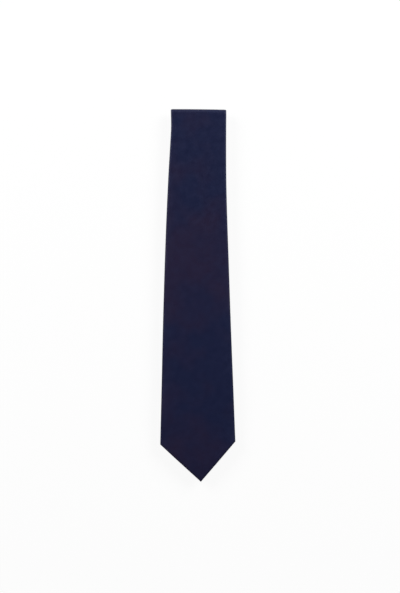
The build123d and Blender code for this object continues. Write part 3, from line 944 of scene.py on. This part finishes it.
class Weave:
    """A material whose patterns are laid out in the cloth's own millimetres, from its "weave" map."""

    def __init__(self, name, roughness=0.5, sheen=0.0, sheen_tint=WHITE, specular=0.5, gloss_tint=WHITE):
        self.material = bpy.data.materials.new(name)
        self.material.use_nodes = True
        self.tree = self.material.node_tree
        self.shader = self.tree.nodes["Principled BSDF"]
        self.set("Roughness", roughness)
        self.set("Sheen Weight", sheen)
        self.set("Sheen Tint", (*sheen_tint, 1))
        self.set("Specular IOR Level", specular)
        self.set("Specular Tint", (*gloss_tint, 1))
        place = self.node("ShaderNodeUVMap", uv_map="weave").outputs[0]
        self.mm = self.scaled(place, (1000, 1000, 1000))
        split = self.node("ShaderNodeSeparateXYZ", [self.mm])
        self.u, self.v = split.outputs[0], split.outputs[1]

    def node(self, kind, inputs=(), **settings):
        made = self.tree.nodes.new(kind)
        for key, value in settings.items():
            setattr(made, key, value)
        for socket, value in zip(made.inputs, inputs):
            self.feed(socket, value)
        return made

    def feed(self, socket, value):
        if isinstance(value, bpy.types.NodeSocket):
            self.tree.links.new(value, socket)
        elif value is not None:
            socket.default_value = value

    def set(self, name, value):
        self.feed(self.shader.inputs[name], value)

    def scaled(self, place, factors):
        return self.node("ShaderNodeVectorMath", [place, factors], operation="MULTIPLY").outputs[0]

    def math(self, operation, *inputs):
        return self.node("ShaderNodeMath", inputs, operation=operation).outputs[0]

    def wave(self, place, period):
        """A sine from 0 to 1 with that period, in millimetres."""
        sine = self.math("SINE", self.math("MULTIPLY", place, 2 * math.pi / period))
        return self.math("MULTIPLY_ADD", sine, 0.5, 0.5)

    def noise(self, size, detail, stretch=1.0):
        """Soft noise from 0 to 1 whose patches are about size millimetres, longer along one diagonal."""
        place = self.mm
        if stretch != 1:
            turned = self.node("ShaderNodeVectorRotate", [place, (0, 0, 0), (0, 0, 1), math.pi / 4])
            place = self.scaled(turned.outputs[0], (1, 1 / stretch, 1))
        texture = self.node("ShaderNodeTexNoise")
        self.feed(texture.inputs["Vector"], place)
        self.feed(texture.inputs["Scale"], 1 / size)
        self.feed(texture.inputs["Detail"], detail)
        return texture.outputs[0]

    def between(self, value, low, high, start=0.0, end=1.0):
        """value from low..high to start..end, held at both ends."""
        return self.node("ShaderNodeMapRange", [value, low, high, start, end]).outputs[0]

    def mix(self, share, first, second):
        mixed = self.node("ShaderNodeMix", data_type="RGBA")
        self.feed(mixed.inputs[0], share)
        self.feed(mixed.inputs[6], (*first, 1) if isinstance(first, tuple) else first)
        self.feed(mixed.inputs[7], (*second, 1) if isinstance(second, tuple) else second)
        return mixed.outputs[2]

    def bump(self, *heights):
        """Adds each (height from 0 to 1, millimetres) to the surface's relief."""
        total = 0.0
        for height, depth in heights:
            total = self.math("MULTIPLY_ADD", height, depth, total)
        made = self.node("ShaderNodeBump")
        made.inputs["Distance"].default_value = MM
        self.feed(made.inputs["Height"], total)
        self.set("Normal", made.outputs[0])


SATIN_SHEEN, SATIN_GLOSS = (0.45, 0.5, 0.85), (0.65, 0.66, 0.95)
DRIFT_PERIOD, DRIFT_START = 250, 62  # mm: violet is strongest at the blade's tip, and again every period


def make_satin(name, navy, violet, crossing, rib, sheen):
    """Satin cut on the bias: fine ribs on the diagonal, slubs along them, and slow drifts of blue and violet
    along the tie, a little stronger towards its left side. The ribs' crests are coloured lighter, a painted
    highlight."""
    cloth = Weave(name, sheen=sheen, sheen_tint=SATIN_SHEEN, specular=0.25, gloss_tint=SATIN_GLOSS)
    one, other = (cloth.math(operation, cloth.u, cloth.v) for operation in ("ADD", "SUBTRACT"))
    ribs = cloth.wave(one, rib)
    yarns = cloth.wave(other, crossing)
    slubs = cloth.noise(0.9, 3, 7)
    along = cloth.wave(cloth.math("ADD", cloth.v, DRIFT_START), DRIFT_PERIOD)
    drift = cloth.math("MULTIPLY_ADD", along, 0.32, cloth.noise(38, 2))
    drift = cloth.math("ADD", drift, cloth.between(cloth.u, 30, -30, -0.08, 0.08))
    mottle = cloth.noise(7, 3)
    colour = cloth.mix(cloth.between(drift, 0.48, 0.88), navy, violet)
    dark = tuple(0.62 * c for c in navy)
    # a lighter navy, used for the random mottle and for the ribs' painted highlight
    light = tuple(min(1, 1.5 * c) for c in navy)
    colour = cloth.mix(cloth.between(mottle, 0.3, 0.7, 0, 0.22), colour, light)
    colour = cloth.mix(cloth.between(slubs, 0.35, 0.7, 0, 0.18), colour, dark)
    # painted highlight: the ribs' crests are coloured lighter than their hollows
    colour = cloth.mix(cloth.math("MULTIPLY", ribs, 0.12), colour, light)
    cloth.set("Base Color", colour)
    rough = cloth.math("MULTIPLY_ADD", ribs, -0.05, cloth.between(mottle, 0.3, 0.7, 0.34, 0.46))
    cloth.set("Roughness", rough)
    cloth.bump((ribs, 0.0035), (yarns, 0.0005), (slubs, 0.003), (cloth.noise(11, 2), 0.09))
    return cloth.material


def make_wool(name):
    """The interlining's brushed wool: a plain open weave with fibres over it."""
    cloth = Weave(name, roughness=0.95, sheen=0.3, specular=0.2)
    warp, weft = cloth.wave(cloth.u, 0.9), cloth.wave(cloth.v, 0.9)
    threads = cloth.math("MAXIMUM", warp, weft)
    fibres = cloth.noise(0.35, 5, 4)
    colour = cloth.mix(cloth.noise(9, 3), (0.78, 0.75, 0.67), (0.66, 0.62, 0.54))
    cloth.set("Base Color", cloth.mix(cloth.between(fibres, 0.4, 0.7, 0, 0.4), colour, (0.5, 0.47, 0.4)))
    cloth.bump((threads, 0.1), (fibres, 0.15))
    return cloth.material


def make_yarn(name):
    """Two-ply thread: a helical groove round each strand, its colour darkened in the groove as painted shade.
    """
    cloth = Weave(name, sheen=0.2, sheen_tint=(0.5, 0.5, 0.8), specular=0.4)
    twist = cloth.wave(cloth.math("MULTIPLY_ADD", cloth.u, 1.6, cloth.v), 0.4)
    fibres = cloth.noise(0.15, 3)
    # painted shade: the colour is darker in the helical groove and lighter on the strands
    cloth.set("Base Color", cloth.mix(twist, (0.010, 0.010, 0.026), (0.022, 0.022, 0.048)))
    cloth.set("Roughness", cloth.between(fibres, 0.3, 0.7, 0.4, 0.6))
    cloth.bump((twist, 0.03), (fibres, 0.02))
    return cloth.material


def border_line(cloth, across, along):
    """1 on the thin line woven just inside a label's rim. across and along are the label's own stretches."""
    near = math.inf
    for place, (low, high) in ((cloth.u, across), (cloth.v, along)):
        off_middle = cloth.math("ABSOLUTE", cloth.math("SUBTRACT", place, (low + high) / 2 / MM))
        near = cloth.math("MINIMUM", near, cloth.math("SUBTRACT", (high - low) / 2 / MM, off_middle))
    off_line = cloth.math("ABSOLUTE", cloth.math("SUBTRACT", near, BORDER_IN / MM))
    return cloth.between(off_line, 0.2, 0.32, 1, 0)


def make_ribbon(name, ground, raised, rib, roughness, border=None, extent=None):
    """A ribbon woven square to its edges, with close weft ribs, and a border line in a thread of its own. The
    ribs' crests are coloured lighter than the ground, a painted highlight.
    """
    cloth = Weave(name, sheen=0.15, specular=0.4)
    weft, warp = cloth.wave(cloth.v, rib), cloth.wave(cloth.u, rib * 0.6)
    mottle = cloth.noise(4, 3)
    # painted highlight: the weft ribs' crests take the lighter raised colour
    colour = cloth.mix(cloth.math("MULTIPLY", weft, 0.6), ground, raised)
    colour = cloth.mix(cloth.between(mottle, 0.3, 0.7, 0, 0.3), colour, ground)
    if border:
        stitched = cloth.math("MULTIPLY", border_line(cloth, *extent), cloth.between(weft, 0, 1, 0.7, 1))
        colour = cloth.mix(stitched, colour, border)
    cloth.set("Base Color", colour)
    cloth.set("Roughness", cloth.between(mottle, 0.3, 0.7, roughness - 0.06, roughness + 0.08))
    cloth.bump((weft, 0.02), (warp, 0.01), (mottle, 0.03))
    return cloth.material


satin = make_satin("satin", (0.0070, 0.0097, 0.0328), (0.0150, 0.0102, 0.0283), 0.17, 0.36, 0.04)
lining = make_satin("lining", (0.008, 0.0095, 0.033), (0.011, 0.009, 0.032), 0.25, 0.3, 0.1)
wool = make_wool("wool")
yarn = make_yarn("yarn")
# each ribbon's second colour is the painted highlight on its weft ribs
label_weave = make_ribbon(
    "label_weave", (0.008, 0.009, 0.026), (0.018, 0.020, 0.050), 0.32, 0.5,
    border=(0.26, 0.26, 0.30), extent=(LABEL_X, LABEL_S),
)
care_weave = make_ribbon("care_weave", (0.7, 0.7, 0.67), (0.8, 0.8, 0.78), 0.35, 0.5)


buckles = simulate_relief()
make_shell()
make_interlining()
make_tipping("front_lining", "front_blade", FRONT, 150 * MM, "front_tipping")
make_tipping("tail_lining", "tail", BACK, TOTAL - 83 * MM, "tail_tipping")
make_loop_and_labels()
make_thread()


# --- Stage ---
FRAME_HEIGHT = (blade_high.y - TIP_Y + top.outer) / 0.6293  # the tie takes that share of the picture
LENS, SENSOR = 100.0, 36.0
TABLE_WHITE, TABLE_GLOW = 0.08, 0.905
TABLE_REACH = 15.0
WALL_LIGHT, CEILING_LIGHT, WALL_FADE = 0.97, 0.03, 6.0
LIGHT_SIZE = 0.9
LIGHTS = {  # where each stands, in metres, and its power
    "left_light": ((-1.25, 0.95, 1.25), 31.0),
    "right_light": ((1.25, 0.95, 1.25), 35.0),
    "far_light": ((0.1, 1.4, 1.3), 3.0),
}
CAMERA_X, CAMERA_Y = 2.5 * MM, -1.2 * MM  # the tie isn't quite in the middle of the picture


def make_camera():
    data = bpy.data.cameras.new("camera")
    data.lens, data.sensor_width = LENS, SENSOR
    camera = add_object("camera", data)
    away = FRAME_HEIGHT * LENS / SENSOR
    camera.location = (CAMERA_X, CAMERA_Y, blade_high.z + away)
    data.clip_end = 10
    bpy.context.scene.camera = camera


def area_light(name, place, power):
    data = bpy.data.lights.new(name, "AREA")
    data.shape, data.size, data.energy = "SQUARE", LIGHT_SIZE, power
    light = add_object(name, data)
    light.location = place
    light.rotation_euler = (-Vector(place)).to_track_quat("-Z", "Y").to_euler()


def make_table():
    """A white table that glows a little, so that it stays white right up to the tie."""
    corners = [(x * TABLE_REACH, y * TABLE_REACH, 0) for x, y in ((-1, -1), (1, -1), (1, 1), (-1, 1))]
    mesh = bpy.data.meshes.new("table")
    mesh.from_pydata(corners, [], [(0, 1, 2, 3)])
    table = add_object("table", mesh)
    material = bpy.data.materials.new("table")
    material.use_nodes = True
    shader = material.node_tree.nodes["Principled BSDF"]
    looks = {
        "Base Color": (TABLE_WHITE, TABLE_WHITE, TABLE_WHITE, 1), "Roughness": 1, "Specular IOR Level": 0,
        "Emission Color": (*WHITE, 1), "Emission Strength": TABLE_GLOW,
    }
    for socket, value in looks.items():
        shader.inputs[socket].default_value = value
    mesh.materials.append(material)


def make_room():
    """White walls that grow darker towards the ceiling, so that the cloth's face stays deep in colour."""
    room = bpy.data.worlds.new("room")
    room.use_nodes = True
    nodes, links = room.node_tree.nodes, room.node_tree.links
    place = nodes.new("ShaderNodeTexCoord")
    split = nodes.new("ShaderNodeSeparateXYZ")
    down, fade, shade = (nodes.new("ShaderNodeMath") for _ in range(3))
    down.operation, fade.operation, shade.operation = "SUBTRACT", "POWER", "MULTIPLY_ADD"
    down.use_clamp = True
    down.inputs[0].default_value = 1
    fade.inputs[1].default_value = WALL_FADE
    shade.inputs[1].default_value, shade.inputs[2].default_value = WALL_LIGHT - CEILING_LIGHT, CEILING_LIGHT
    links.new(place.outputs["Generated"], split.inputs[0])
    links.new(split.outputs["Z"], down.inputs[1])
    links.new(down.outputs[0], fade.inputs[0])
    links.new(fade.outputs[0], shade.inputs[0])
    links.new(shade.outputs[0], nodes["Background"].inputs["Color"])
    bpy.context.scene.world = room


def make_stage():
    make_table()
    make_room()
    for name, (place, power) in LIGHTS.items():
        area_light(name, place, power)
    bpy.context.scene.view_settings.view_transform = "Standard"


make_camera()
make_stage()
